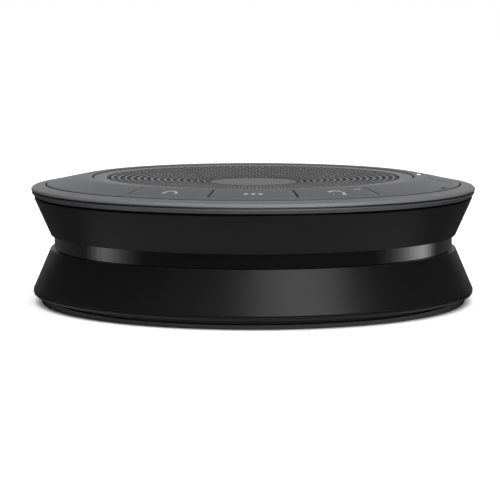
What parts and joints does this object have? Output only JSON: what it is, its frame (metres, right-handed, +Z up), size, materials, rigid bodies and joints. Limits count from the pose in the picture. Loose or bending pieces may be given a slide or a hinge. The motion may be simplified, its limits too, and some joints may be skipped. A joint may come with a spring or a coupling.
{
  "type": "conference speakerphone",
  "caption": "Round desktop conference speakerphone with a dished perforated grille, a convex ring of flush push keys and a waisted body on a rubber foot.",
  "frame": {"origin": "centre of the bottom face of the foot ring, on the table", "axes": "+Z up through the grille; the call keys face -Y and the charging socket faces +Y"},
  "size_m": [0.12, 0.12, 0.0339],
  "materials": {
    "graphite_plastic": "fine satin paint",
    "key_plastic": "fine satin paint",
    "band_plastic": "satin",
    "black_plastic": "satin moulded",
    "gloss_band": "polished",
    "foot_rubber": "matt",
    "acoustic_cloth": "woven",
    "foam": "closed-cell foam",
    "cone_paper": "pressed paper",
    "spider_cloth": "resin-coated weave",
    "coil_copper": "enamelled wire",
    "steel": "zinc plated",
    "painted_steel": "black coat",
    "ferrite": "ground ceramic",
    "circuit_board": "solder mask",
    "chip_black": "moulded epoxy",
    "connector_nylon": "natural nylon",
    "flex_cable": "polyimide film",
    "wire_sleeve": "vinyl sleeve",
    "battery_foil": "laminated foil",
    "lamp_white": "milky clear"
  },
  "bodies": {
    "housing": {"top_ring": "graphite_plastic", "side_band": "band_plastic", "control_panel": "graphite_plastic", "grille": "graphite_plastic", "grille_cloth": "acoustic_cloth", "light_guide": "lamp_white", "status_led": "lamp_white", "key_switches": "chip_black", "key_board": "circuit_board", "mic_boots": "foot_rubber", "mic_capsules": "steel", "chassis": "black_plastic", "chassis_screws": "steel", "speaker_frame": "painted_steel", "speaker_gasket": "foam", "surround": "foot_rubber", "spider": "spider_cloth", "top_plate": "steel", "magnet": "ferrite", "yoke": "steel", "speaker_screws": "steel", "wire_grommet": "foot_rubber", "speaker_wires": "wire_sleeve", "upper_shell": "black_plastic", "waist_band": "gloss_band", "shell_screws": "steel", "lower_shell": "black_plastic", "main_board": "circuit_board", "board_screws": "steel", "shield_can": "steel", "board_chips": "chip_black", "board_connectors": "connector_nylon", "usb_socket": "steel", "key_ribbon": "flex_cable", "battery": "battery_foil", "battery_pad": "foam", "battery_lead": "wire_sleeve", "base_plate": "black_plastic", "base_screws": "steel", "foot_ring": "foot_rubber"},
    "key_call": {"key_call": "key_plastic"},
    "key_menu": {"key_menu": "key_plastic"},
    "key_end": {"key_end": "key_plastic"},
    "key_power": {"key_power": "key_plastic"},
    "key_volume_down": {"key_volume_down": "key_plastic"},
    "key_mute": {"key_mute": "key_plastic"},
    "key_volume_up": {"key_volume_up": "key_plastic"},
    "diaphragm": {"cone": "cone_paper", "dust_cap": "cone_paper", "voice_coil": "coil_copper"}
  },
  "joints": [
    {"name": "key_call_press", "type": "slide", "parent": "housing", "child": "key_call", "axis": [0, 0, -1], "range_m": [0, 0.0004], "stiffness_N_per_m": 400, "springref_m": -0.0005},
    {"name": "key_menu_press", "type": "slide", "parent": "housing", "child": "key_menu", "axis": [0, 0, -1], "range_m": [0, 0.0004], "stiffness_N_per_m": 400, "springref_m": -0.0005},
    {"name": "key_end_press", "type": "slide", "parent": "housing", "child": "key_end", "axis": [0, 0, -1], "range_m": [0, 0.0004], "stiffness_N_per_m": 400, "springref_m": -0.0005},
    {"name": "key_power_press", "type": "slide", "parent": "housing", "child": "key_power", "axis": [0, 0, -1], "range_m": [0, 0.0004], "stiffness_N_per_m": 400, "springref_m": -0.0005},
    {"name": "key_volume_down_press", "type": "slide", "parent": "housing", "child": "key_volume_down", "axis": [0, 0, -1], "range_m": [0, 0.0004], "stiffness_N_per_m": 400, "springref_m": -0.0005},
    {"name": "key_mute_press", "type": "slide", "parent": "housing", "child": "key_mute", "axis": [0, 0, -1], "range_m": [0, 0.0004], "stiffness_N_per_m": 400, "springref_m": -0.0005},
    {"name": "key_volume_up_press", "type": "slide", "parent": "housing", "child": "key_volume_up", "axis": [0, 0, -1], "range_m": [0, 0.0004], "stiffness_N_per_m": 400, "springref_m": -0.0005},
    {"name": "diaphragm_travel", "type": "slide", "parent": "housing", "child": "diaphragm", "axis": [0, 0, 1], "range_m": [-0.001, 0.001], "stiffness_N_per_m": 1500, "deforming": ["surround", "spider"]}
  ]
}
